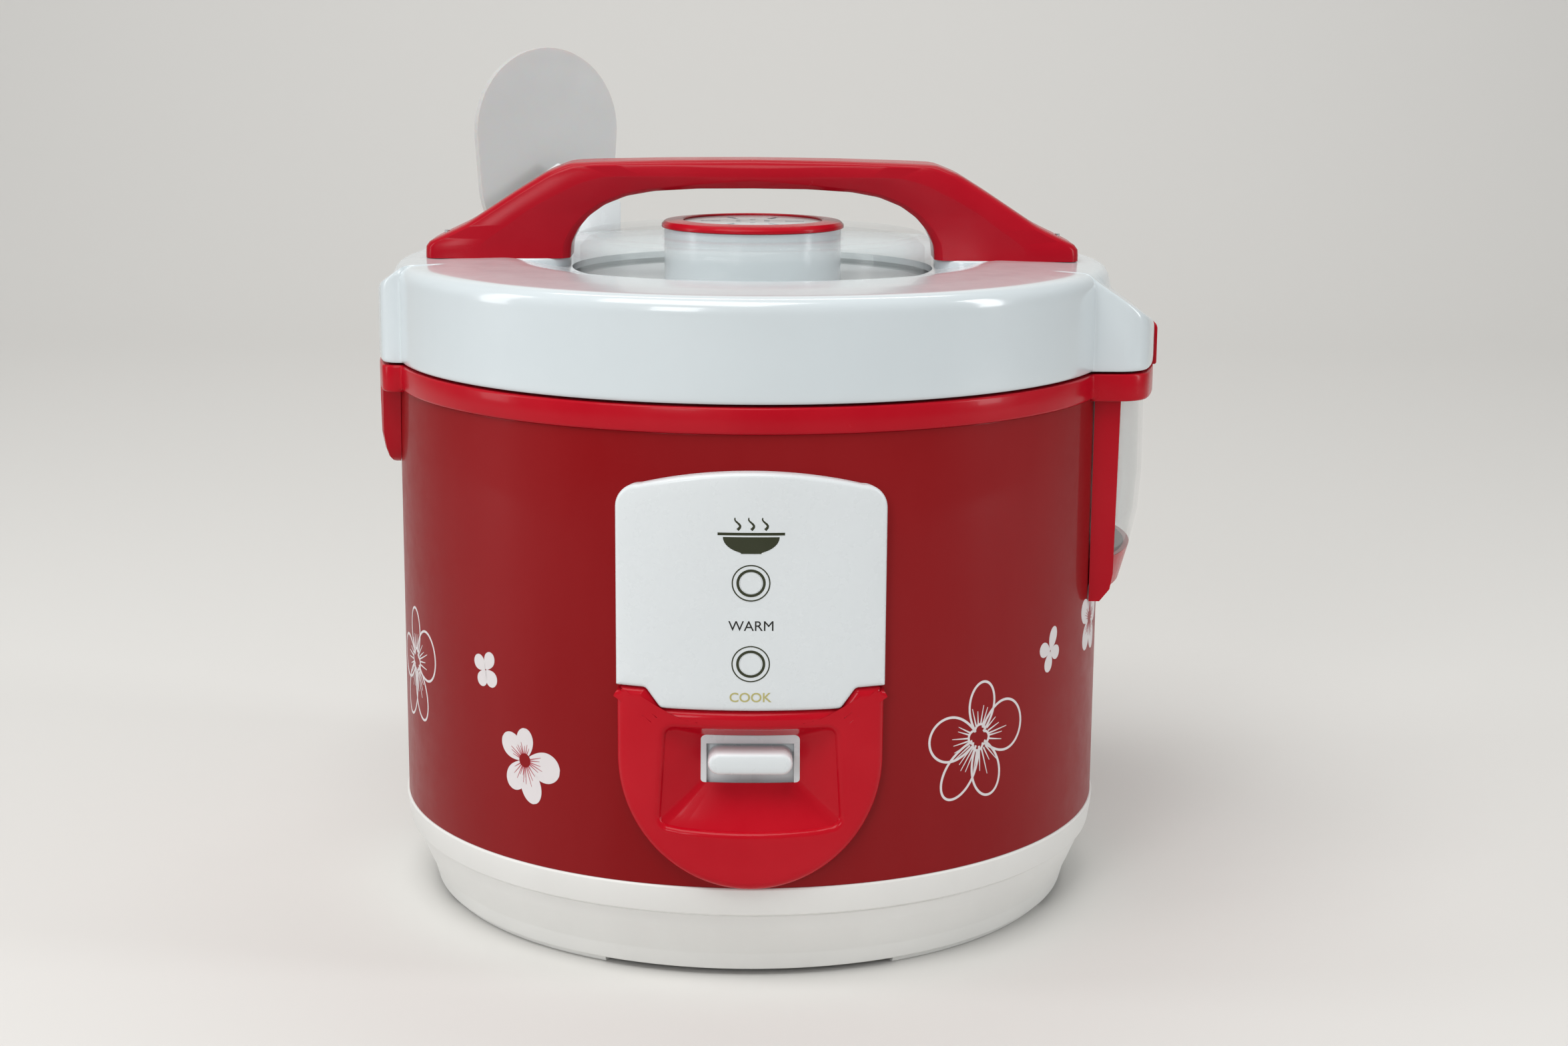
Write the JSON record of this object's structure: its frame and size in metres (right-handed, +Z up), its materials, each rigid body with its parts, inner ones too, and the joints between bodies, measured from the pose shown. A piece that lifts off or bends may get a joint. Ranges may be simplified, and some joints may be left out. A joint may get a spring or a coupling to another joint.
{
  "type": "rice cooker",
  "caption": "Jar-type electric rice cooker with side-hinged lid, carrying handle, cook lever, dew collector and clip-on spoon holder.",
  "frame": {"origin": "the pot's axis where it meets the table, under the middle of the base", "axes": "+Z up along the pot's axis, -Y to the front with the control panel, +X to the lid's hinge"},
  "size_m": [0.2849, 0.2706, 0.3077],
  "materials": {
    "shell_paint": "gloss red lacquer on sheet steel",
    "red_plastic": "gloss red",
    "handle_red": "satin red",
    "lid_white": "gloss white",
    "panel_white": "satin white",
    "base_white": "satin warm white",
    "spoon_white": "translucent white",
    "liner_grey": "satin pale grey",
    "clear_plastic": "clear moulded plastic",
    "galvanised": "galvanised sheet",
    "spring_steel": "bright wire",
    "cast_aluminium": "turned",
    "pot_coat": "dark non-stick coat",
    "inner_aluminium": "satin sheet",
    "black_plastic": "matt black",
    "cream_plastic": "cream",
    "lamp_glass": "neon lamp",
    "silicone": "pale silicone"
  },
  "bodies": {
    "housing": {"base": "base_white", "bottom_cover": "galvanised", "bottom_screws": "spring_steel", "outer_shell": "shell_paint", "top_ring": "red_plastic", "heat_chamber": "galvanised", "chamber_screws": "spring_steel", "heating_plate": "cast_aluminium", "plate_legs": "galvanised", "inner_pot": "pot_coat", "thermostat_cup": "galvanised", "sensor_spring": "spring_steel", "lever_pin": "spring_steel", "lever_bracket": "galvanised", "lever_spring": "spring_steel", "microswitch": "black_plastic", "switch_plate": "panel_white", "panel_frame": "red_plastic", "panel_cover": "panel_white", "warm_lens": "panel_white", "cook_lens": "panel_white", "neon_lamps": "lamp_glass", "power_inlet": "black_plastic", "inlet_pins": "spring_steel", "terminal_block": "cream_plastic", "warm_thermostat": "galvanised", "thermal_fuse": "cream_plastic", "hinge_pin": "spring_steel", "hinge_spring": "spring_steel", "dew_frame": "red_plastic", "spoon_holder": "spoon_white"},
    "sensor": {"sensor_cap": "cast_aluminium"},
    "lever": {"switch_lever": "galvanised"},
    "cook_key": {"cook_button": "panel_white"},
    "magnet": {"magnet_rod": "black_plastic"},
    "dew_collector": {"dew_cup": "clear_plastic"},
    "rice_spoon": {"spoon": "spoon_white"},
    "lid": {"lid_cover": "lid_white", "lid_liner": "liner_grey", "inner_lid_plate": "inner_aluminium", "lid_gasket": "silicone", "plate_grommet": "silicone", "dome_floor": "liner_grey", "lid_dome": "clear_plastic", "vent_cylinder": "lid_white", "carry_handle": "handle_red", "handle_grip": "handle_red", "handle_screws": "spring_steel", "button_springs": "spring_steel", "hook_pin": "spring_steel"},
    "steam_cap": {"vent_cap": "red_plastic", "vent_disc": "lid_white"},
    "release_key": {"release_button": "red_plastic"},
    "catch": {"latch_hook": "liner_grey"}
  },
  "joints": [
    {"name": "lid_hinge", "type": "hinge", "parent": "housing", "child": "lid", "pos_m": [0.14, 0, 0.206], "axis": [0, 1, 0], "range_deg": [0, 85]},
    {"name": "steam_cap_twist", "type": "hinge", "parent": "lid", "child": "steam_cap", "pos_m": [0, 0, 0.245], "axis": [0, 0, 1], "range_deg": [0, 30]},
    {"name": "release_push", "type": "slide", "parent": "lid", "child": "release_key", "axis": [1, 0, 0], "range_m": [0, 0.0024], "stiffness_N_per_m": 600, "springref_m": -0.001, "deforming": ["button_springs"]},
    {"name": "hook_swing", "type": "hinge", "parent": "lid", "child": "catch", "pos_m": [-0.1311, 0, 0.203], "axis": [0, 1, 0], "range_deg": [0, 10]},
    {"name": "cook_lever", "type": "hinge", "parent": "housing", "child": "lever", "pos_m": [0, -0.085, 0.028], "axis": [1, 0, 0], "range_deg": [0, 7.6], "stiffness_Nm_per_rad": 0.2, "springref_deg": -11.46, "deforming": ["lever_spring"]},
    {"name": "cook_press", "type": "slide", "parent": "housing", "child": "cook_key", "axis": [0, 0, -1], "range_m": [0, 0.005]},
    {"name": "magnet_lift", "type": "slide", "parent": "housing", "child": "magnet", "axis": [0, 0, 1], "range_m": [0, 0.0116]},
    {"name": "sensor_give", "type": "slide", "parent": "housing", "child": "sensor", "axis": [0, 0, 1], "range_m": [-0.0015, 0], "stiffness_N_per_m": 400, "springref_m": 0.003, "deforming": ["sensor_spring"]},
    {"name": "dew_pull", "type": "slide", "parent": "housing", "child": "dew_collector", "axis": [1, 0, 0], "range_m": [0, 0.035]},
    {"name": "spoon_lift", "type": "slide", "parent": "housing", "child": "rice_spoon", "axis": [0, 0, 1], "range_m": [0, 0.09]}
  ],
  "couplings": [
    {"joint": "hook_swing", "follows": "release_push", "rad_per_m": 68.493},
    {"joint": "cook_press", "follows": "cook_lever", "m_per_rad": 0.036},
    {"joint": "magnet_lift", "follows": "cook_lever", "m_per_rad": 0.085}
  ]
}
